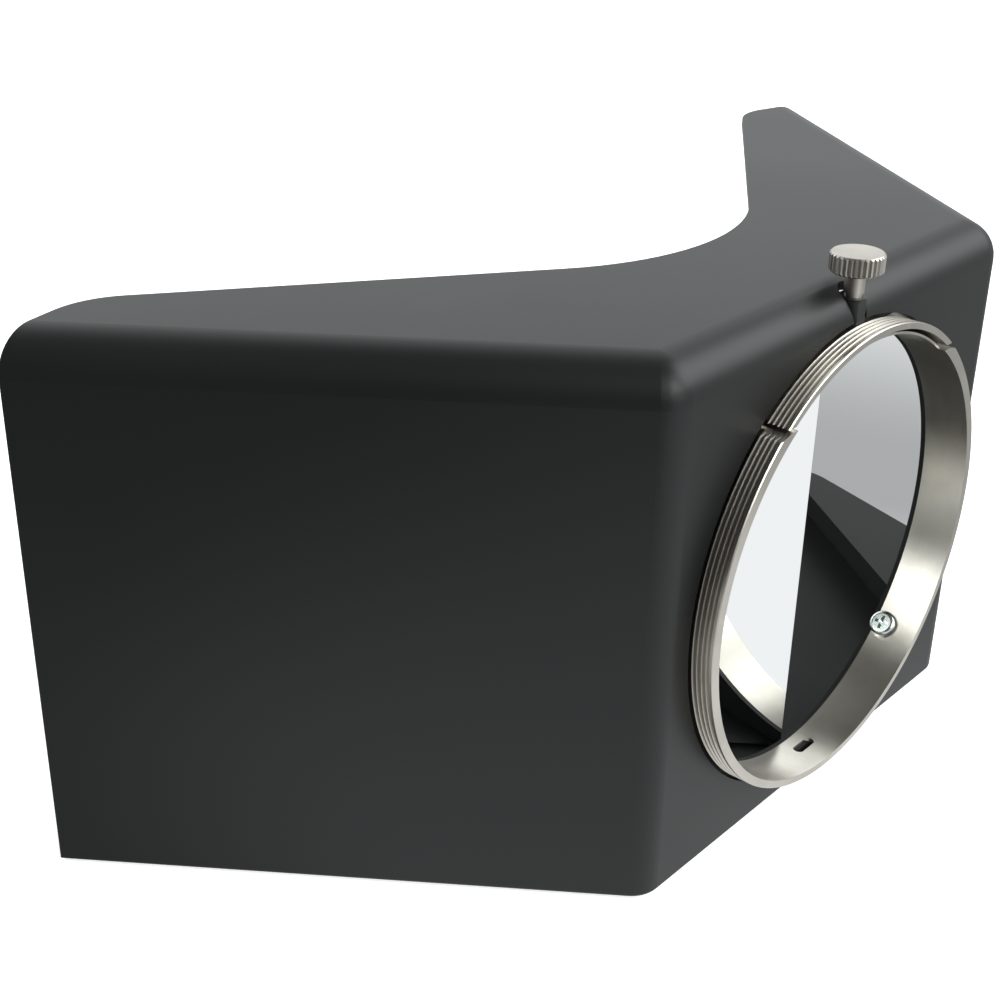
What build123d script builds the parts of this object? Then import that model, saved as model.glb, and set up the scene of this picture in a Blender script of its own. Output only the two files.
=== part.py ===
"""Clamp-on twin-view mirror attachment for a camera lens, in millimetres.

Origin: on the clamp ring's axis, at the outside face of the front panel.
+X to the right as seen from the ring side, +Y towards the scene, +Z up.
"""
from build123d import *
import os
from math import asin, cos, radians, sin, tan

# Housing
HEIGHT = 80.5               # outside height, base plate included
BOTTOM = -38.96             # underside of the base plate, below the ring axis
PANEL_WIDTH = 84.5          # front panel, between the sharp corners it would have
WING_ANGLE = 53.2           # sweep of each wing away from the front panel
WING_DEPTH = 67.6           # how far back the wing's outside face reaches
WALL = 1.2                  # sheet thickness
TOP_BEND = 5.9              # outside radius of the long bend under the top plate
CORNER_BEND = 5.0           # outside radius of the upright bends
BOTTOM_EDGE = 0.6           # softened bottom edge
SCENE_ARC_Y = 27.0          # middle of the concave scene-side edge
SCENE_ARC_RADIUS = 40.9     # its round stretch
SCENE_EDGE_ANGLE = 34.75    # its straight stretches
TIP_EDGE_ANGLE = -14.0      # short edge across the wing tip
TIP_CORNER_RADIUS = 12.0

# Clamp ring
CREST_RADIUS = 36.0         # 72 mm filter thread
ROOT_RADIUS = 35.54
THREAD_PITCH = 0.75
RIDGES = 4
CREST_WIDTH = 0.14
FRONT_LAND = 0.5            # plain land in front of the first groove
THREAD_BACK = -0.15         # the last ridge stops this far in front of the panel
RING_FRONT = THREAD_BACK - RIDGES * THREAD_PITCH - FRONT_LAND
LEAD_CHAMFER = 0.15
RING_BACK = 3.6
RING_BODY_RADIUS = 35.4     # plain part behind the thread
BORE_RADIUS = 34.4
BORE_DROP = 0.4             # the bore sits this much below the thread's axis
STRIP_THICKNESS = 0.35      # thin bridge left over the bore under the shoe
STRIP_SETBACK = 1.1         # the bridge starts this far behind the ring's front
SPLIT_Z = 27.4              # flat ends of the fixed thread
SHOE_END_Z = 28.1           # flat ends of the shoe, at rest
SHOE_GAP = 0.65             # vertical gap between bridge and shoe, at rest
RELIEF_DEPTH = 0.4          # broken corner of the fixed thread at the split
RELIEF_ANGLE = 24.0
PANEL_HOLE_RADIUS = 36.5
SLOT_LENGTH = 4.6
SLOT_WIDTH = 1.7
SLOT_Y = 0.8
RING_SCREW_ANGLE = -43.8    # from +X; the second screw mirrors it
RING_SCREW_Y = 2.1
RING_SCREW_RADIUS = 0.8
RING_HEAD_RADIUS = 2.15
RING_HEAD_HEIGHT = 1.3

# Thumb screw, an M2.5 jack screw in the bush of the shoe
SCREW_Y = 1.6
SCREW_RADIUS = 1.25
SHOULDER_RADIUS = 1.45
SHOULDER_BOTTOM = 40.3
RUNNING_GAP = 0.05
BUSH_RADIUS = 1.95
BUSH_BOTTOM = 35.1
BUSH_TOP = 39.6
BUSH_RIM = 0.25
SCREW_HOLE_RADIUS = 2.3     # hole through the bend of the housing
KNOB_RADIUS = 3.85
KNOB_BOTTOM = 43.25
KNOB_TOP = 46.0
KNOB_EDGE = 0.3
KNURLS = 32
KNURL_SIDE = 0.44
NECK_RADIUS = 0.8
NECK_TIP = 0.25             # length of the neck below its clip
CLIP_RADIUS = 1.5
CLIP_THICKNESS = 0.3
CLIP_DEPTH = 0.2            # depth of the clip's groove in the neck

# Ring mount behind the panel
PLATE_HALF_WIDTH = 38.5
PLATE_TOP = 34.9
PLATE_BACK = 4.4
GUIDE_HALF_WIDTH = 28.0     # shoe ears slide between guide faces here
EAR_TOP = 34.2
EAR_FRONT = 1.35
EAR_BACK = 3.4
EAR_DROP = 0.7              # room below the ears for the shoe's travel
STUD_RADIUS = 1.5
STUD_X = 34.2
STUD_HEIGHTS = (-31.0, 30.6)
NUT_WIDTH = 5.5
NUT_HEIGHT = 2.4
SHIELD_HALF_WIDTH = 4.0     # tongue that keeps light out of the screw hole
SHIELD_FRONT = 3.75
SHIELD_TOP = 39.3

# Mirrors
GLASS = 1.8
PAD = 0.8
PAD_WIDTH = 8.0
PAD_MARGIN = 3.0            # the pads stop this short of a mirror's edges
APEX_Y = 4.9                # meeting edge of the two inner mirrors
INNER_ANGLE = 51.0
INNER_LENGTH = 33.0
INNER_BOTTOM = -36.6
INNER_TOP = 36.4
WEDGE_LENGTH = 28.0
WEDGE_WALL = 1.5
MITRE_GAP = 0.02
OUTER_START = 3.0           # along the wing, from its front corner
OUTER_LENGTH = 71.0
OUTER_BOTTOM = -29.8
OUTER_TOP = 32.8

# Base plate and its fixings
BASE_THICKNESS = 1.6
SEAM = 0.15
BLOCK_LENGTH = 5.8
BLOCK_DEPTH = 6.2
BLOCK_HEIGHT = 7.0
BASE_SCREW_RADIUS = 1.2
BASE_HOLE_RADIUS = 1.35
BASE_HEAD_RADIUS = 2.5
BASE_HEAD_HEIGHT = 1.2

TOP = BOTTOM + HEIGHT
BASE_TOP = BOTTOM + BASE_THICKNESS
HALF_PANEL = PANEL_WIDTH / 2
TIP_X = HALF_PANEL + WING_DEPTH / tan(radians(WING_ANGLE))
WING_DIR = Vector(cos(radians(WING_ANGLE)), sin(radians(WING_ANGLE)))
WING_IN = Vector(-sin(radians(WING_ANGLE)), cos(radians(WING_ANGLE)))
SIDES = (-1, 1)


def mirrored(shape, side):
    """The right-hand shape as it is, or its twin on the left."""
    return shape if side > 0 else mirror(shape, about=Plane.YZ)


def crossing(p, p_angle, q, q_angle):
    """Where two plan lines meet, each given by a point and a direction in degrees."""
    a = Vector(cos(radians(p_angle)), sin(radians(p_angle)))
    b = Vector(cos(radians(q_angle)), sin(radians(q_angle)))
    gap = q - p
    reach = (gap.X * b.Y - gap.Y * b.X) / (a.X * b.Y - a.Y * b.X)
    return p + a * reach


def plan_face(inset):
    """Chevron plan; inset moves the panel and wing sides in, never the scene side."""
    turn = radians(SCENE_EDGE_ANGLE)
    arc_end = Vector(SCENE_ARC_RADIUS * sin(turn),
                     SCENE_ARC_Y + SCENE_ARC_RADIUS * (1 - cos(turn)))
    tip = Vector(TIP_X, WING_DEPTH)
    corner = crossing(arc_end, SCENE_EDGE_ANGLE, tip, TIP_EDGE_ANGLE)
    wing_point = Vector(HALF_PANEL, 0) + WING_IN * inset
    front = crossing(wing_point, WING_ANGLE, Vector(0, inset), 0)
    tip = crossing(corner, TIP_EDGE_ANGLE, wing_point, WING_ANGLE)
    right = [arc_end, corner, tip, front]
    left = [Vector(-p.X, p.Y) for p in reversed(right)]
    arc = ThreePointArc(left[-1], (0, SCENE_ARC_Y), right[0])
    face = make_face([arc, Polyline(*right, *left)])
    tips = [v for v in face.vertices() if abs(abs(v.X) - corner.X) < 0.01]
    return fillet(tips, TIP_CORNER_RADIUS)


def cavity():
    """Inside space of the housing, open below and on the scene side."""
    far = WING_DEPTH + 25
    wing_point = Vector(HALF_PANEL, 0) + WING_IN * WALL
    front = crossing(wing_point, WING_ANGLE, Vector(0, WALL), 0)
    back = crossing(wing_point, WING_ANGLE, Vector(0, far), 0)
    outline = Polyline((front.X, front.Y), (back.X, back.Y), (-back.X, back.Y),
                       (-front.X, front.Y), close=True)
    block = extrude(Pos(0, 0, BOTTOM - 1) * make_face(outline), TOP - WALL - BOTTOM + 1)
    uprights = block.edges().filter_by(Axis.Z).sort_by(Axis.Y)[:2]
    block = fillet(uprights, CORNER_BEND - WALL)
    top = block.edges().group_by(Axis.Z)[-1].filter_by(lambda e: e.center().Y < far - 1)
    return fillet(top, TOP_BEND - WALL)


def along_y(radius, start, end, x=0, z=0):
    """Cylinder along Y from start to end."""
    return Pos(x, (start + end) / 2, z) * Rot(90, 0, 0) * Cylinder(radius, end - start)


def upright(radius, bottom, top, x=0, y=0):
    """Cylinder along Z from bottom to top."""
    return Pos(x, y, (bottom + top) / 2) * Cylinder(radius, top - bottom)


def box(x, y, z):
    """Box from three (low, high) pairs."""
    size = [high - low for low, high in (x, y, z)]
    centre = [(high + low) / 2 for low, high in (x, y, z)]
    return Pos(*centre) * Box(*size)


def wing_box(start, end, near, far, low, high):
    """Right-wing box: start to end along the wing, near to far in from its outside face."""
    frame = Plane(origin=(HALF_PANEL, 0, 0), x_dir=WING_DIR, z_dir=(0, 0, 1))
    return frame * box((start, end), (near, far), (low, high))


def stud_places():
    """Fixing studs of the ring mount, as (x, z)."""
    return [(side * STUD_X, z) for side in SIDES for z in STUD_HEIGHTS]


def block_places():
    """Tapped blocks on the right wing, as distances along it."""
    return (5.5, OUTER_START + OUTER_LENGTH + 3.4)


def block_screw_spot(along):
    """Plan position of the base screw under a tapped block on the right wing."""
    return Vector(HALF_PANEL, 0) + WING_DIR * along + WING_IN * (WALL + BLOCK_DEPTH / 2 + 0.2)


def housing_shell():
    """Bent sheet cover: top plate, front panel and two wings in one piece."""
    shell = extrude(Pos(0, 0, BOTTOM) * plan_face(0), HEIGHT)
    uprights = shell.edges().filter_by(Axis.Z).sort_by(Axis.Y)[:2]
    shell = fillet(uprights, CORNER_BEND)

    def on_outside(edge):
        mid = edge.center()
        wing_gap = (Vector(abs(mid.X) - HALF_PANEL, mid.Y)).dot(WING_IN)
        return mid.Y < WALL or wing_gap < WALL

    long_edges = [e for e in shell.edges().group_by(Axis.Z)[-1] if on_outside(e)]
    shell = fillet(long_edges, TOP_BEND)
    bottom_edges = [e for e in shell.edges().group_by(Axis.Z)[0] if on_outside(e)]
    shell = fillet(bottom_edges, BOTTOM_EDGE)
    shell -= cavity()
    shell -= along_y(PANEL_HOLE_RADIUS, -1, 3)
    return shell - upright(SCREW_HOLE_RADIUS, SPLIT_Z, TOP + 1, y=SCREW_Y)


def mount_studs():
    """Weld studs that stand inside the front panel."""
    end = PLATE_BACK + NUT_HEIGHT + 0.8
    return [along_y(STUD_RADIUS, WALL, end, x, z) for x, z in stud_places()]


def plate_nuts():
    """Hexagon nuts on the weld studs, clearing the stud's thread by the running gap."""
    nuts = []
    for x, z in stud_places():
        outline = RegularPolygon(NUT_WIDTH / 2, 6, major_radius=False)
        nut = extrude(outline - Circle(STUD_RADIUS + RUNNING_GAP), NUT_HEIGHT)
        nuts.append(Pos(x, PLATE_BACK, z) * Rot(-90, 0, 0) * nut)
    return nuts


def threaded_band():
    """Full ring with the filter thread's ridges outside, before it is split."""
    flank = (CREST_RADIUS - ROOT_RADIUS) * tan(radians(30))
    inside = BORE_RADIUS - 1
    profile = [(inside, RING_BACK), (inside, RING_FRONT),
               (CREST_RADIUS - LEAD_CHAMFER, RING_FRONT),
               (CREST_RADIUS, RING_FRONT + LEAD_CHAMFER)]
    for ridge in range(RIDGES):
        start = RING_FRONT + FRONT_LAND + ridge * THREAD_PITCH
        crest_start = start + THREAD_PITCH - CREST_WIDTH
        profile += [(CREST_RADIUS, start), (ROOT_RADIUS, start + flank),
                    (ROOT_RADIUS, crest_start - flank), (CREST_RADIUS, crest_start)]
    profile += [(CREST_RADIUS, THREAD_BACK), (RING_BODY_RADIUS, THREAD_BACK),
                (RING_BODY_RADIUS, RING_BACK)]
    return revolve(make_face(Polyline(*profile, close=True)), Axis.Y)


def ring_screw_spot(angle, radius):
    """Place on the ring's bore for a part whose +Z points inwards along the radius."""
    spoke = Vector(cos(radians(angle)), 0, sin(radians(angle)))
    spot = spoke * radius + Vector(0, RING_SCREW_Y, 0)
    return Plane(origin=spot, x_dir=(0, 1, 0), z_dir=-spoke).location


def ring_screw_angles():
    return (RING_SCREW_ANGLE, 180 - RING_SCREW_ANGLE)


def split_relief():
    """Wedge that breaks the outside corner of the fixed thread at the right of the split."""
    end_angle = asin(SPLIT_Z / CREST_RADIUS)
    lean = end_angle + radians(RELIEF_ANGLE)
    corner = Vector(cos(end_angle), 0, sin(end_angle)) * (CREST_RADIUS - RELIEF_DEPTH)
    face = Plane(origin=corner, x_dir=(0, 1, 0), z_dir=(cos(lean), 0, sin(lean)))
    thickness = 2.0
    return face * Pos(0, 0, thickness / 2) * Box(3 * RING_BACK, 2 * thickness, thickness)


def fixed_ring():
    """Lower threaded part of the clamp ring with the thin bridge across its top."""
    ring = threaded_band() - box((-50, 50), (RING_FRONT - 1, RING_BACK + 1), (SPLIT_Z, 50))
    for side in SIDES:
        ring -= mirrored(split_relief(), side)
    bridge_outer = BORE_RADIUS + STRIP_THICKNESS
    bridge = along_y(bridge_outer, RING_FRONT + STRIP_SETBACK, RING_BACK, z=-BORE_DROP)
    ring += bridge & box((-50, 50), (RING_FRONT, RING_BACK), (SPLIT_Z - 1, 50))
    ring -= along_y(BORE_RADIUS, RING_FRONT - 1, RING_BACK + 1, z=-BORE_DROP)
    ring -= upright(NECK_RADIUS + RUNNING_GAP, SPLIT_Z, CREST_RADIUS, y=SCREW_Y)
    slot = SlotOverall(SLOT_LENGTH, SLOT_WIDTH)
    ring -= Pos(0, SLOT_Y, -BORE_RADIUS + 2) * extrude(slot, -5)
    for angle in ring_screw_angles():
        hole = Cylinder(RING_SCREW_RADIUS + 0.25, 8)
        ring -= ring_screw_spot(angle, CREST_RADIUS) * hole
    return ring


def bush_outline(bottom, top):
    """Solid bush shape; its front is ground flat, flush with the panel."""
    rim = upright(BUSH_RADIUS - BUSH_RIM, bottom, top, y=SCREW_Y)
    body = upright(BUSH_RADIUS, bottom, top - BUSH_RIM, y=SCREW_Y)
    return (rim + body) & box((-5, 5), (0, 10), (bottom, top))


def shoe_bush():
    """Tapped bush pressed into the crown of the shoe."""
    bore = upright(SCREW_RADIUS + RUNNING_GAP, BUSH_BOTTOM - 1, BUSH_TOP + 1, y=SCREW_Y)
    return bush_outline(BUSH_BOTTOM, BUSH_TOP) - bore


def clamp_shoe():
    """Upper threaded segment with two guide ears and a seat for the bush."""
    shoe = threaded_band() & box((-50, 50), (RING_FRONT, RING_BACK), (SHOE_END_Z, 50))
    ears = box((-GUIDE_HALF_WIDTH, GUIDE_HALF_WIDTH), (EAR_FRONT, EAR_BACK), (SHOE_END_Z, EAR_TOP))
    inner_radius = BORE_RADIUS + STRIP_THICKNESS
    shoe = shoe + ears - along_y(inner_radius, RING_FRONT - 1, RING_BACK + 1,
                                 z=SHOE_GAP - BORE_DROP)
    return shoe - bush_outline(SHOE_END_Z, BUSH_TOP)


def clip_top():
    """Upper face of the foot clip, just under the bridge."""
    return BORE_RADIUS - BORE_DROP - RUNNING_GAP


def thumb_screw():
    """Knurled knob, shoulder, threaded shank and the neck that turns in the bridge."""
    shank_end = BORE_RADIUS + STRIP_THICKNESS - BORE_DROP + RUNNING_GAP
    groove_top = clip_top()
    groove_end = groove_top - CLIP_THICKNESS
    groove_radius = NECK_RADIUS - CLIP_DEPTH
    profile = [(0, KNOB_TOP), (KNOB_RADIUS - KNOB_EDGE, KNOB_TOP),
               (KNOB_RADIUS, KNOB_TOP - KNOB_EDGE), (KNOB_RADIUS, KNOB_BOTTOM + KNOB_EDGE),
               (KNOB_RADIUS - KNOB_EDGE, KNOB_BOTTOM), (SHOULDER_RADIUS, KNOB_BOTTOM),
               (SHOULDER_RADIUS, SHOULDER_BOTTOM), (SCREW_RADIUS, SHOULDER_BOTTOM),
               (SCREW_RADIUS, shank_end), (NECK_RADIUS, shank_end),
               (NECK_RADIUS, groove_top), (groove_radius, groove_top),
               (groove_radius, groove_end), (NECK_RADIUS, groove_end),
               (NECK_RADIUS, groove_end - NECK_TIP), (0, groove_end - NECK_TIP)]
    screw = revolve(Plane.XZ * make_face(Polyline(*profile, close=True)), Axis.Z)
    square = Rectangle(KNURL_SIDE, KNURL_SIDE, rotation=45)
    groove = extrude(Pos(0, 0, KNOB_BOTTOM - 1) * square, KNOB_TOP - KNOB_BOTTOM + 2)
    for place in PolarLocations(KNOB_RADIUS + 0.05, KNURLS):
        screw -= place * groove
    return Pos(0, SCREW_Y, 0) * screw


def foot_clip():
    """Open spring clip in the screw's neck groove, under the bridge."""
    top = clip_top()
    bottom = top - CLIP_THICKNESS
    clip = upright(CLIP_RADIUS, bottom, top, y=SCREW_Y)
    clip -= upright(NECK_RADIUS - CLIP_DEPTH, bottom - 1, top + 1, y=SCREW_Y)
    return clip - box((-0.5, 0.5), (SCREW_Y, SCREW_Y + 3), (bottom - 1, top + 1))


def mount_plate():
    """Black plate behind the panel that seats the ring and guides the shoe."""
    plate = box((-PLATE_HALF_WIDTH, PLATE_HALF_WIDTH), (WALL, PLATE_BACK), (BASE_TOP + 0.1, PLATE_TOP))
    plate = chamfer(plate.edges().filter_by(Axis.X).group_by(Axis.Z)[-1].sort_by(Axis.Y)[:1], 1.2)
    plate -= along_y(RING_BODY_RADIUS + 0.05, 0, RING_BACK)
    plate -= along_y(BORE_RADIUS, 0, PLATE_BACK + 1, z=-BORE_DROP)
    pocket = GUIDE_HALF_WIDTH + RUNNING_GAP
    plate -= box((-pocket, pocket), (0, RING_BACK), (SHOE_END_Z - EAR_DROP, 50))
    plate += box((-SHIELD_HALF_WIDTH, SHIELD_HALF_WIDTH), (SHIELD_FRONT, PLATE_BACK),
                 (PLATE_TOP - 1, SHIELD_TOP))
    for x, z in stud_places():
        plate -= along_y(STUD_RADIUS + RUNNING_GAP, 0, PLATE_BACK + 1, x, z)
    for angle in ring_screw_angles():
        hole = Cylinder(RING_SCREW_RADIUS + RUNNING_GAP, 12)
        plate -= ring_screw_spot(angle, CREST_RADIUS + 2) * hole
    return plate


def cross_recess(span, width, depth):
    return Box(span, width, depth) + Box(width, span, depth)


def ring_screws():
    """Two cross-recess pan screws, heads in the bore, holding the ring to the plate."""
    length = 4.8
    shank = Pos(0, 0, -length / 2) * Cylinder(RING_SCREW_RADIUS, length)
    head = Cylinder(RING_HEAD_RADIUS, RING_HEAD_HEIGHT)
    head = fillet(head.edges().group_by(Axis.Z)[-1], 0.7)
    screw = shank + Pos(0, 0, RING_HEAD_HEIGHT / 2) * head
    screw -= Pos(0, 0, RING_HEAD_HEIGHT - 0.35) * cross_recess(2.3, 0.55, 0.8)
    bore_curve = RING_HEAD_RADIUS ** 2 / (2 * BORE_RADIUS)
    bore_here = BORE_RADIUS - BORE_DROP * sin(radians(RING_SCREW_ANGLE))
    seat = bore_here - bore_curve - 0.01
    return [ring_screw_spot(angle, seat) * screw for angle in ring_screw_angles()]


def base_plate():
    """Flat bottom plate set into the walls, flush with their lower edge."""
    plate = extrude(Pos(0, 0, BOTTOM) * plan_face(WALL + SEAM), BASE_THICKNESS)
    uprights = plate.edges().filter_by(Axis.Z).sort_by(Axis.Y)[:2]
    plate = fillet(uprights, CORNER_BEND - WALL)
    sink = Cone(BASE_HEAD_RADIUS + 0.15, BASE_HOLE_RADIUS, BASE_HEAD_HEIGHT)
    for spot in base_screw_spots() + wedge_screw_spots():
        plate -= upright(BASE_HOLE_RADIUS, BOTTOM - 1, BASE_TOP + 1, spot.X, spot.Y)
        plate -= Pos(spot.X, spot.Y, BOTTOM + BASE_HEAD_HEIGHT / 2) * sink
    return plate


def base_screw_spots():
    spots = [block_screw_spot(along) for along in block_places()]
    return spots + [Vector(-s.X, s.Y) for s in spots]


def countersunk_screw(length):
    """Countersunk screw pointing up from the origin, with a cross recess below."""
    head = Cone(BASE_HEAD_RADIUS, BASE_SCREW_RADIUS, BASE_HEAD_HEIGHT)
    screw = Pos(0, 0, BASE_HEAD_HEIGHT / 2) * head + upright(BASE_SCREW_RADIUS, 1, length)
    return screw - cross_recess(2.4, 0.5, 1.2)


def placed_screws(spots, length):
    """Base screws at plan spots, their heads just inside the plate's underside."""
    return [Pos(s.X, s.Y, BOTTOM + 0.05) * countersunk_screw(length) for s in spots]


def base_screws():
    return placed_screws(base_screw_spots(), 6.5)


def wedge_screws():
    return placed_screws(wedge_screw_spots(), 3.6)


def tapped_blocks():
    """Small blocks bonded inside the wings that take the base screws."""
    blocks = []
    top = BASE_TOP + BLOCK_HEIGHT
    for along, side in [(a, s) for a in block_places() for s in SIDES]:
        block = wing_box(along - BLOCK_LENGTH / 2, along + BLOCK_LENGTH / 2,
                         WALL, WALL + BLOCK_DEPTH, BASE_TOP, top)
        spot = block_screw_spot(along)
        block -= upright(BASE_SCREW_RADIUS + RUNNING_GAP, BASE_TOP - 1, top + 1, spot.X, spot.Y)
        blocks.append(mirrored(block, side))
    return blocks


def inner_frame():
    """Plane whose X runs back along the right inner mirror and whose Y points behind it."""
    return Plane(origin=(0, APEX_Y, 0), x_dir=(cos(radians(INNER_ANGLE)), sin(radians(INNER_ANGLE)), 0),
                 z_dir=(0, 0, 1))


def right_half(shape):
    """Keep the right half, so that left and right pieces meet in a mitre."""
    return shape & box((MITRE_GAP, 60), (-10, 90), (-60, 60))


def inner_mirror(side):
    glass = inner_frame() * box((0, INNER_LENGTH), (0, GLASS), (INNER_BOTTOM, INNER_TOP))
    return mirrored(right_half(glass), side)


def inner_pads(side):
    """Two bonding strips between an inner mirror and the wedge."""
    heights = (INNER_BOTTOM + PAD_MARGIN, INNER_TOP - PAD_MARGIN)
    strips = []
    for start in (5.0, 18.0):
        strip = inner_frame() * box((start, start + PAD_WIDTH), (GLASS, GLASS + PAD), heights)
        strips.append(mirrored(strip, side))
    return strips


def wedge_screw_spots():
    return [Vector(side * x, y) for side in SIDES for x, y in ((4.8, 18.4), (9.6, 24.0))]


def mirror_wedge():
    """Folded V bracket that carries both inner mirrors, with a foot on the base plate."""
    back = GLASS + PAD
    low, high = BASE_TOP, INNER_TOP
    side_plate = inner_frame() * box((0, WEDGE_LENGTH), (back, back + WEDGE_WALL), (low, high))
    side_plate &= box((0, 60), (-10, 90), (-60, 60))
    wedge = side_plate + mirror(side_plate, about=Plane.YZ)
    depth = APEX_Y + WEDGE_LENGTH * sin(radians(INNER_ANGLE))
    half = WEDGE_LENGTH * cos(radians(INNER_ANGLE)) - 2
    foot = Polyline((0, APEX_Y + 4), (half, depth), (-half, depth), close=True)
    wedge += extrude(Pos(0, 0, low) * make_face(foot), WEDGE_WALL)
    in_front = inner_frame() * box((-5, INNER_LENGTH + 5), (-20, back), (low - 5, high + 5))
    wedge -= in_front + mirror(in_front, about=Plane.YZ)
    for spot in wedge_screw_spots():
        wedge -= upright(BASE_SCREW_RADIUS + RUNNING_GAP, low - 1, low + 4, spot.X, spot.Y)
    return wedge


def outer_mirror(side):
    near = WALL + PAD
    glass = wing_box(OUTER_START, OUTER_START + OUTER_LENGTH, near, near + GLASS,
                     OUTER_BOTTOM, OUTER_TOP)
    return mirrored(glass, side)


def outer_pads(side):
    """Bonding strips between an outer mirror and the wing."""
    strips = []
    for share in (0.06, 0.43, 0.8):
        start = OUTER_START + share * OUTER_LENGTH
        strip = wing_box(start, start + PAD_WIDTH, WALL, WALL + PAD,
                         OUTER_BOTTOM + PAD_MARGIN, OUTER_TOP - PAD_MARGIN)
        strips.append(mirrored(strip, side))
    return strips


def save(name, shape):
    pieces = shape if isinstance(shape, list) else [shape]
    solids = [solid for piece in pieces for solid in piece.solids()]
    export_step(Compound(children=solids) if len(solids) > 1 else solids[0], f"parts/{name}.step")


os.makedirs("parts", exist_ok=True)
for name, build in {
    "housing_shell": housing_shell, "mount_studs": mount_studs, "plate_nuts": plate_nuts,
    "mount_plate": mount_plate, "fixed_ring": fixed_ring, "ring_screws": ring_screws,
    "clamp_shoe": clamp_shoe, "shoe_bush": shoe_bush,
    "thumb_screw": thumb_screw, "foot_clip": foot_clip,
    "base_plate": base_plate, "base_screws": base_screws, "tapped_blocks": tapped_blocks,
    "mirror_wedge": mirror_wedge, "wedge_screws": wedge_screws,
}.items():
    save(name, build())
for word, side in (("left", -1), ("right", 1)):
    save(f"inner_mirror_{word}", inner_mirror(side))
    save(f"inner_pads_{word}", inner_pads(side))
    save(f"outer_mirror_{word}", outer_mirror(side))
    save(f"outer_pads_{word}", outer_pads(side))
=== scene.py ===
"""Looks for the twin-view mirror attachment: materials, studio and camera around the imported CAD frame."""
import math

import bmesh
import bpy
from mathutils import Matrix, Vector


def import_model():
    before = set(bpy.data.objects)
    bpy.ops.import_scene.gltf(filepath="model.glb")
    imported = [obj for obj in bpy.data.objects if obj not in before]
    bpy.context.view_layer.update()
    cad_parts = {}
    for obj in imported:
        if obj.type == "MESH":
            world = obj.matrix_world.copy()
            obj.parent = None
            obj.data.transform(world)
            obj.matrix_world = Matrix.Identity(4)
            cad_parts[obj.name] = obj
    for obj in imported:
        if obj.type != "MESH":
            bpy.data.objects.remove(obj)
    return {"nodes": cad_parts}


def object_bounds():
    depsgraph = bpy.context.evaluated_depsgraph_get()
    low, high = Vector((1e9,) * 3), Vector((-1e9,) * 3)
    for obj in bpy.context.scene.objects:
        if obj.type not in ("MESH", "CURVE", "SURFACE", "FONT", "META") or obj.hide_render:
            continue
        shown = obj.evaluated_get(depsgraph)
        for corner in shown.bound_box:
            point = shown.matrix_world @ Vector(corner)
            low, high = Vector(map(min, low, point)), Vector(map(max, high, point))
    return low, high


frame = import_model()
nodes = frame["nodes"]
cad_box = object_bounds()

WING_ANGLE = math.radians(53.2)     # sweep of the wings, as in the CAD
INNER_ANGLE = math.radians(51.0)    # sweep of the inner mirrors


# Studio: how bright the room is away from its windows, and each window as
# (direction, half-angle where it starts, half-angle where it is full, strength)
ROOM_LEVEL = 0.12
WINDOWS = (
    ((0.60, 0.70, 0.36), 60, 25, 1.15),      # broad, behind on the right
    ((-0.35, 0.90, 0.30), 50, 20, 0.85),     # broad, behind on the left
    ((0.66, -0.50, 0.56), 30, 12, 4.6),      # in front on the right, high
    ((-0.08, -0.83, 0.56), 20, 8, 7.0),      # in front, high
    ((-0.05, -0.95, 0.30), 35, 15, 0.7),     # in front, near the floor's edge
)
FLOOR_GLOW = 0.6
FLOOR_HALF_SIZE = 6.0
FLOOR_DROP = 0.0002                 # gap below the object, so that the two never share a face

# What reflections see of the floor, a painted glow with a painted shadow behind the object: each fade as
# (where it starts, where it ends), in metres
LEFT_FADE = (-0.19, -0.12)          # along X, from dark to full
RIGHT_FADE = (0.03, 0.10)           # along X, from full to greyer
BEHIND_PAINTED_SHADOW_FADE = (0.09, 0.22)          # along Y, behind the object: painted shadow, dimmer close to the object
SIDE_FADE = (0.02, 0.07)            # along Y, from the floor in front to the floor behind

# Camera, fitted to the object's outline: azimuth, elevation and roll in degrees
CAMERA_AZIMUTH, CAMERA_ELEVATION, CAMERA_ROLL = -49.04, 26.26, 1.11
CAMERA_DISTANCE = 0.1706
CAMERA_AIM = (-0.07535, 0.0, 0.03579)
CAMERA_LENS = 57.6


# Node helpers -------------------------------------------------------------------------------------

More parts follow.
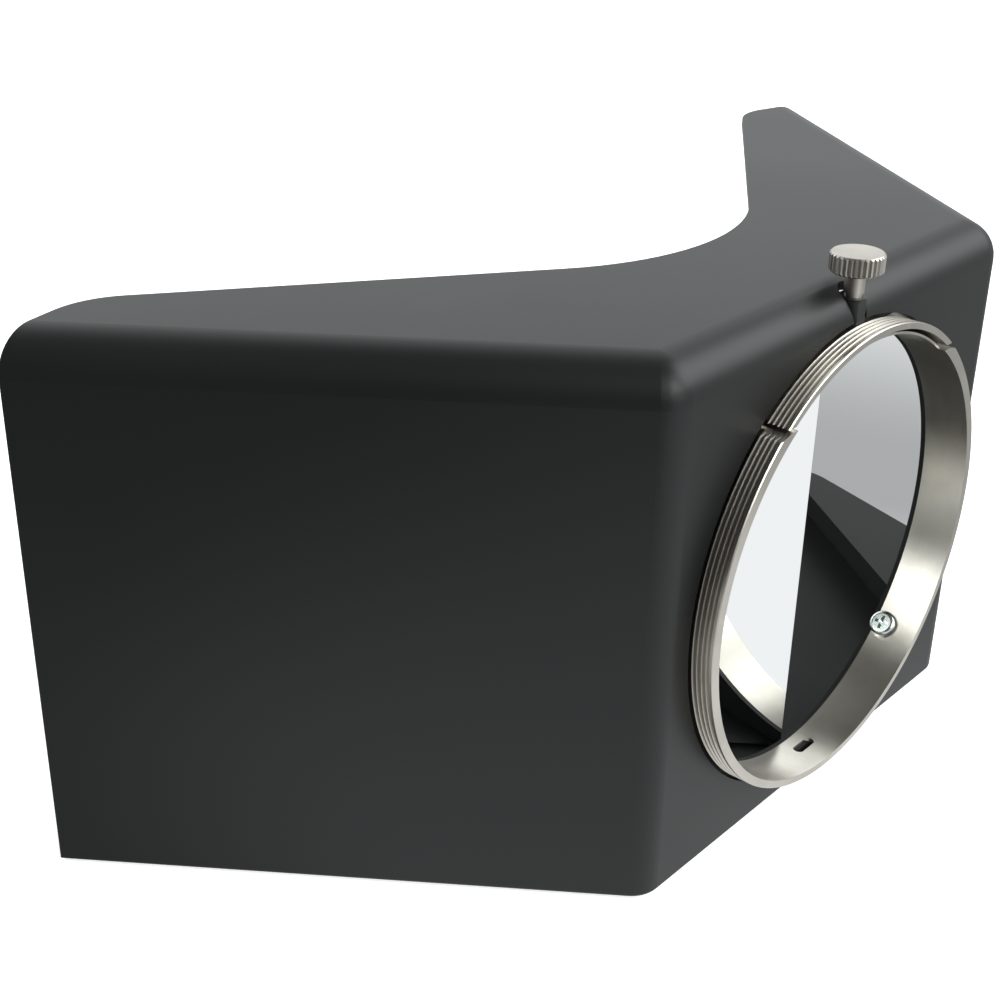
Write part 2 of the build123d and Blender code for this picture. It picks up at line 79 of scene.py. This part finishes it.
class Shader:
    """A material under construction, with its Principled node and short ways to add to it."""

    def __init__(self, name):
        self.material = bpy.data.materials.new(name)
        self.material.use_nodes = True
        self.tree = self.material.node_tree
        self.bsdf = self.tree.nodes["Principled BSDF"]
        self.output = self.tree.nodes["Material Output"]
        self.place = self.add("ShaderNodeTexCoord").outputs["Object"]

    def add(self, kind, **values):
        """Adds a node; values set its properties, or its inputs by name."""
        node = self.tree.nodes.new(kind)
        for key, value in values.items():
            if hasattr(node, key):
                setattr(node, key, value)
            else:
                node.inputs[key.replace("_", " ")].default_value = value
        return node

    def link(self, source, target):
        self.tree.links.new(source, target)
        return target

    def set(self, **values):
        """Sets Principled inputs by name, from a value or another node's output."""
        for key, value in values.items():
            socket = self.bsdf.inputs[key.replace("_", " ")]
            if isinstance(value, bpy.types.NodeSocket):
                self.link(value, socket)
            else:
                socket.default_value = value

    def noise(self, scale, detail=3.0, roughness=0.5, stretch=(1, 1, 1), seed=0.0):
        """Noise in object space; scale is in features per metre."""
        mapping = self.add("ShaderNodeMapping")
        mapping.inputs["Scale"].default_value = stretch
        mapping.inputs["Location"].default_value = (seed, seed * 0.7, seed * 1.3)
        self.link(self.place, mapping.inputs["Vector"])
        node = self.add("ShaderNodeTexNoise", Scale=scale, Detail=detail, Roughness=roughness)
        self.link(mapping.outputs["Vector"], node.inputs["Vector"])
        return node.outputs["Fac"]

    def ramp(self, source, stops):
        """Colour ramp through (position, value) stops; a value is grey or a colour."""
        node = self.add("ShaderNodeValToRGB")
        elements = node.color_ramp.elements
        while len(elements) < len(stops):
            elements.new(0.5)
        for element, (position, value) in zip(elements, stops):
            colour = value if isinstance(value, tuple) else (value, value, value)
            element.position = position
            element.color = (*colour, 1.0)
        self.link(source, node.inputs["Fac"])
        return node.outputs["Color"]

    def math(self, operation, a, b=0.0, clamp=False):
        node = self.add("ShaderNodeMath", operation=operation, use_clamp=clamp)
        for socket, value in zip(node.inputs, (a, b)):
            if isinstance(value, bpy.types.NodeSocket):
                self.link(value, socket)
            else:
                socket.default_value = value
        return node.outputs["Value"]

    def mix(self, factor, a, b, blend="MIX"):
        node = self.add("ShaderNodeMix", data_type="RGBA", blend_type=blend)
        colour_a, colour_b = [s for s in node.inputs if s.type == "RGBA"]
        for socket, value in ((node.inputs[0], factor), (colour_a, a), (colour_b, b)):
            if isinstance(value, bpy.types.NodeSocket):
                self.link(value, socket)
            elif isinstance(value, tuple):
                socket.default_value = (*value, 1.0)
            else:
                socket.default_value = value
        return [s for s in node.outputs if s.type == "RGBA"][0]

    def bump(self, height, strength, distance, under=None):
        node = self.add("ShaderNodeBump", Strength=strength, Distance=distance)
        self.link(height, node.inputs["Height"])
        if under is not None:
            self.link(under, node.inputs["Normal"])
        return node.outputs["Normal"]

    def between(self, value, low, high):
        """Smooth step: 0 where value is at low, 1 where it is at high."""
        node = self.add("ShaderNodeMapRange", interpolation_type="SMOOTHSTEP")
        for socket, source in zip(node.inputs, (value, low, high)):
            if isinstance(source, bpy.types.NodeSocket):
                self.link(source, socket)
            else:
                socket.default_value = source
        return node.outputs["Result"]

    def painted_edge_highlight(self, radius, low, high):
        """Mask for a painted edge highlight: 0 on flats, 1 on outside edges, from the angle between
        bevelled and true normals.
        """
        bevel = self.add("ShaderNodeBevel", samples=4, Radius=radius)
        geometry = self.add("ShaderNodeNewGeometry")
        dot = self.add("ShaderNodeVectorMath", operation="DOT_PRODUCT")
        self.link(bevel.outputs["Normal"], dot.inputs[0])
        self.link(geometry.outputs["Normal"], dot.inputs[1])
        return self.ramp(dot.outputs["Value"], ((low, 1.0), (high, 0.0)))

    def axis(self, name):
        split = self.add("ShaderNodeSeparateXYZ")
        self.link(self.place, split.inputs["Vector"])
        return split.outputs[name]


# Materials ----------------------------------------------------------------------------------------

def matt_black(name, base=0.009, rough=0.42, shine=0.4):
    """Fine matt powder coat: near black, faint cloudiness, a very fine grain, and outside edges painted
    lighter as a highlight.
    """
    s = Shader(name)
    cloud = s.noise(28, detail=4, seed=3.1)
    grain = s.noise(5200, detail=2, roughness=0.6)
    dark = (base * 0.86, base * 0.95, base * 0.95)
    light = (base, base * 1.08, base * 1.05)
    tint = s.ramp(cloud, ((0.3, dark), (0.7, light)))
    speck = s.ramp(s.noise(1500, detail=1, seed=9.0), ((0.72, 0.0), (0.78, 1.0)))
    colour = s.mix(s.math("MULTIPLY", speck, 0.25), tint, (base * 2.2, base * 2.2, base * 2.2))
    # Outside edges are painted lighter: a painted highlight where the edges catch the light.
    edge_glint = s.painted_edge_highlight(0.0005, 0.75, 0.97)
    colour = s.mix(s.math("MULTIPLY", edge_glint, 0.18), colour, (0.05, 0.052, 0.05))
    roughness = s.math("ADD", s.math("MULTIPLY", grain, 0.10), rough - 0.05)
    roughness = s.math("ADD", roughness, s.math("MULTIPLY", cloud, 0.05))
    normal = s.bump(grain, 0.12, 0.00004)
    s.set(Base_Color=colour, Roughness=roughness, Normal=normal, Specular_IOR_Level=shine)
    return s.material


def satin_nickel(name, tone=(0.60, 0.575, 0.51), rough=0.27):
    """Nickel turned on a lathe about the ring's axis: fine rings along Y, dull handling marks."""
    s = Shader(name)
    lines = s.noise(900, detail=2, stretch=(0.02, 9.0, 0.02), seed=1.7)
    blotch = s.noise(140, detail=4, seed=5.0)
    scratch = s.ramp(s.noise(420, detail=2, stretch=(1, 14, 1), seed=2.2), ((0.66, 0.0), (0.7, 1.0)))
    dull = tuple(c * 0.74 for c in tone)
    colour = s.mix(s.ramp(blotch, ((0.35, 0.0), (0.75, 0.7))), tone, dull)
    colour = s.mix(s.math("MULTIPLY", scratch, 0.15), colour, (0.8, 0.79, 0.76))
    roughness = s.math("ADD", s.math("MULTIPLY", lines, 0.16), rough - 0.08)
    roughness = s.math("ADD", roughness, s.math("MULTIPLY", blotch, 0.10))
    normal = s.bump(lines, 0.10, 0.00003)
    s.set(Base_Color=colour, Metallic=1.0, Roughness=roughness, Normal=normal)
    return s.material


def zinc(name, tone=(0.66, 0.72, 0.68)):
    """Bright zinc plate with its pale green and violet cast."""
    s = Shader(name)
    film = s.noise(700, detail=3, seed=4.0)
    colour = s.ramp(film, ((0.3, (0.60, 0.70, 0.64)), (0.5, tone), (0.72, (0.70, 0.68, 0.74))))
    roughness = s.math("ADD", s.math("MULTIPLY", s.noise(1800, detail=2), 0.18), 0.14)
    normal = s.bump(s.noise(2600, detail=2, seed=8.0), 0.10, 0.00003)
    s.set(Base_Color=colour, Metallic=1.0, Roughness=roughness, Normal=normal)
    return s.material


def front_mirror(name, facing):
    """Front-coated glass: a clean mirror on the faces that look along facing, dark glass on the rest."""
    s = Shader(name)
    geometry = s.add("ShaderNodeNewGeometry")
    dot = s.add("ShaderNodeVectorMath", operation="DOT_PRODUCT")
    s.link(geometry.outputs["True Normal"], dot.inputs[0])
    dot.inputs[1].default_value = facing
    coated = s.ramp(dot.outputs["Value"], ((0.985, 0.0), (0.995, 1.0)))
    dust = s.ramp(s.noise(2400, detail=1, seed=6.0), ((0.74, 0.0), (0.8, 1.0)))
    haze = s.noise(60, detail=3, seed=2.0)
    colour = s.mix(coated, (0.02, 0.035, 0.03), (0.93, 0.945, 0.94))
    rough_coat = s.math("ADD", s.math("MULTIPLY", dust, 0.02), s.math("MULTIPLY", haze, 0.008))
    roughness = s.math("ADD", s.math("MULTIPLY", s.math("SUBTRACT", 1.0, coated), 0.3), rough_coat)
    s.set(Base_Color=colour, Metallic=coated, Roughness=roughness)
    return s.material


def foam(name):
    """Black closed-cell foam tape."""
    s = Shader(name)
    cells = s.add("ShaderNodeTexVoronoi", Scale=2600)
    s.link(s.place, cells.inputs["Vector"])
    colour = s.ramp(cells.outputs["Distance"], ((0.1, 0.008), (0.6, 0.03)))
    s.set(Base_Color=colour, Roughness=0.9, Normal=s.bump(cells.outputs["Distance"], 0.6, 0.0001))
    return s.material


def paint(material, *names):
    for name in names:
        node = nodes[name]
        node.data.materials.clear()
        node.data.materials.append(material)


def paint_all():
    paint(matt_black("powder_coat"), "housing_shell")
    paint(matt_black("inner_black", base=0.007, rough=0.55, shine=0.25),
          "base_plate", "mount_plate", "mirror_wedge", "tapped_blocks")
    paint(satin_nickel("turned_nickel"), "fixed_ring", "clamp_shoe")
    paint(satin_nickel("knob_nickel", tone=(0.57, 0.545, 0.49), rough=0.33), "thumb_screw")
    paint(zinc("zinc_plate"), "ring_screws", "mount_studs", "plate_nuts", "foot_clip")
    paint(matt_black("black_oxide", base=0.02, rough=0.35), "base_screws", "wedge_screws",
          "shoe_bush")
    for word, side in (("left", -1), ("right", 1)):
        inwards = (-side * math.sin(WING_ANGLE), math.cos(WING_ANGLE), 0.0)
        outwards = (side * math.sin(INNER_ANGLE), -math.cos(INNER_ANGLE), 0.0)
        paint(front_mirror(f"outer_coat_{word}", inwards), f"outer_mirror_{word}")
        paint(front_mirror(f"inner_coat_{word}", outwards), f"inner_mirror_{word}")
    paint(foam("foam_tape"), *(n for n in nodes if "_pads_" in n))


# Studio -------------------------------------------------------------------------------------------

def world():
    """White to the camera; to the object, a dim room with soft windows."""
    sky = bpy.data.worlds.new("studio")
    bpy.context.scene.world = sky
    sky.use_nodes = True
    tree = sky.node_tree

    def math_node(operation, a, b):
        node = tree.nodes.new("ShaderNodeMath")
        node.operation = operation
        for socket, value in zip(node.inputs, (a, b)):
            if isinstance(value, bpy.types.NodeSocket):
                tree.links.new(value, socket)
            else:
                socket.default_value = value
        return node.outputs["Value"]

    look = tree.nodes.new("ShaderNodeTexCoord").outputs["Generated"]
    light = ROOM_LEVEL
    for direction, outer, inner, strength in WINDOWS:
        dot = tree.nodes.new("ShaderNodeVectorMath")
        dot.operation = "DOT_PRODUCT"
        tree.links.new(look, dot.inputs[0])
        dot.inputs[1].default_value = Vector(direction).normalized()
        soft = tree.nodes.new("ShaderNodeMapRange")
        soft.interpolation_type = "SMOOTHSTEP"
        soft.inputs["From Min"].default_value = math.cos(math.radians(outer))
        soft.inputs["From Max"].default_value = math.cos(math.radians(inner))
        tree.links.new(dot.outputs["Value"], soft.inputs["Value"])
        light = math_node("ADD", light, math_node("MULTIPLY", soft.outputs["Result"], strength))
    background = tree.nodes["Background"]
    background.inputs["Color"].default_value = (0.97, 0.985, 1.0, 1)
    tree.links.new(light, background.inputs["Strength"])
    white = tree.nodes.new("ShaderNodeBackground")
    white.inputs["Color"].default_value = (1, 1, 1, 1)
    path = tree.nodes.new("ShaderNodeLightPath")
    choose = tree.nodes.new("ShaderNodeMixShader")
    tree.links.new(path.outputs["Is Camera Ray"], choose.inputs["Fac"])
    tree.links.new(background.outputs["Background"], choose.inputs[1])
    tree.links.new(white.outputs["Background"], choose.inputs[2])
    tree.links.new(choose.outputs["Shader"], tree.nodes["World Output"].inputs["Surface"])


def floor():
    """Plain pale floor; reflections see a painted glow instead, dark on the far left, greyer on the right,
    and greyer behind with a painted shadow close to the object.
    """
    mesh = bpy.data.meshes.new("floor")
    shape = bmesh.new()
    bmesh.ops.create_grid(shape, x_segments=1, y_segments=1, size=FLOOR_HALF_SIZE)
    shape.to_mesh(mesh)
    shape.free()
    plane = bpy.data.objects.new("floor", mesh)
    plane.location.z = cad_box[0].z - FLOOR_DROP
    bpy.context.scene.collection.objects.link(plane)
    s = Shader("pale_floor")
    s.set(Base_Color=(0.93, 0.93, 0.93, 1), Roughness=0.8, Specular_IOR_Level=0.1,
          Emission_Color=(1, 1, 1, 1), Emission_Strength=FLOOR_GLOW)
    x, y = s.axis("X"), s.axis("Y")
    front = s.math("ADD", s.math("MULTIPLY", s.between(x, *LEFT_FADE), 0.92), 0.03)
    front = s.math("SUBTRACT", front, s.math("MULTIPLY", s.between(x, *RIGHT_FADE), 0.45))
    # Behind the object the glow is dimmer close to it: a painted shadow of the object.
    behind = s.math("ADD", s.math("MULTIPLY", s.between(y, *BEHIND_PAINTED_SHADOW_FADE), 0.42), 0.44)
    side = s.between(y, *SIDE_FADE)
    painted_glow_level = s.math("ADD", s.math("MULTIPLY", front, s.math("SUBTRACT", 1.0, side)),
                  s.math("MULTIPLY", behind, side))
    # Rays other than camera rays see only this painted glow, which also lights the object.
    painted_floor_glow = s.add("ShaderNodeEmission")
    painted_floor_glow.inputs["Color"].default_value = (0.97, 0.985, 1.0, 1)
    s.link(painted_glow_level, painted_floor_glow.inputs["Strength"])
    path = s.add("ShaderNodeLightPath")
    choose = s.add("ShaderNodeMixShader")
    s.link(path.outputs["Is Camera Ray"], choose.inputs["Fac"])
    s.link(painted_floor_glow.outputs["Emission"], choose.inputs[1])
    s.link(s.bsdf.outputs["BSDF"], choose.inputs[2])
    s.link(choose.outputs["Shader"], s.output.inputs["Surface"])
    mesh.materials.append(s.material)


def camera():
    """Close three-quarter view on the ring side's left, from above."""
    azimuth = math.radians(CAMERA_AZIMUTH)
    elevation = math.radians(CAMERA_ELEVATION)
    roll = math.radians(CAMERA_ROLL)
    data = bpy.data.cameras.new("camera")
    data.sensor_width = 36.0
    data.lens = CAMERA_LENS
    data.clip_start = 0.01
    cam = bpy.data.objects.new("camera", data)
    back = Vector((math.sin(azimuth) * math.cos(elevation), -math.cos(azimuth) * math.cos(elevation),
                   math.sin(elevation)))
    cam.location = Vector(CAMERA_AIM) + back * CAMERA_DISTANCE
    look = (-back).to_track_quat("-Z", "Y").to_matrix()
    cam.rotation_euler = (look @ Matrix.Rotation(roll, 3, "Z")).to_euler()
    bpy.context.scene.collection.objects.link(cam)
    bpy.context.scene.camera = cam


paint_all()
world()
floor()
camera()
bpy.context.scene.view_settings.view_transform = "Standard"
